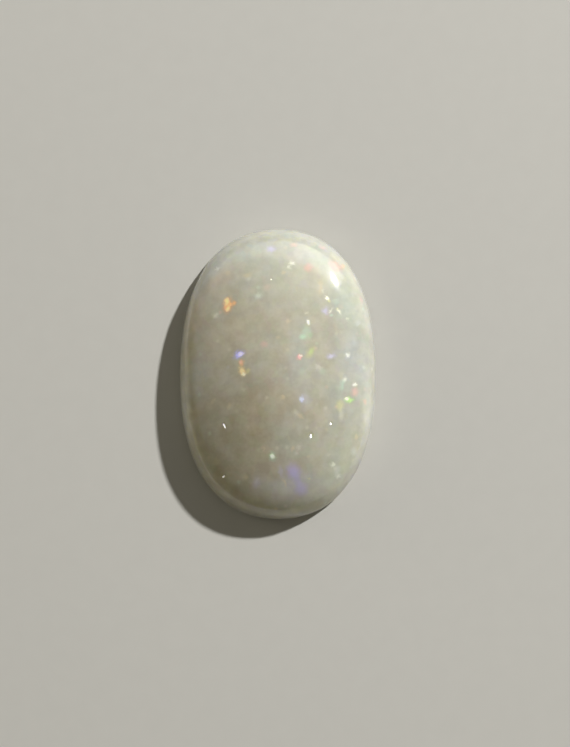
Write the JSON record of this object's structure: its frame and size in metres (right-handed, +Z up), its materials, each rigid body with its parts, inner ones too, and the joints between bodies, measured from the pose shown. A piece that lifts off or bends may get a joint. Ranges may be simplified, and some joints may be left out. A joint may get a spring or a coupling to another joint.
{
  "type": "opal cabochon",
  "caption": "Oval white opal cabochon, a polished milky stone with flecks of play-of-colour, a low dome, a girdle edge and a flat ground back.",
  "frame": {"origin": "on the flat ground back, under the middle of the dome", "axes": "+Z up through the dome, +Y along the stone's length, +X across its width"},
  "size_m": [0.012, 0.018, 0.0035],
  "materials": {
    "opal": "polished, milky and translucent"
  },
  "bodies": {
    "root": {"opal": "opal"}
  },
  "joints": []
}
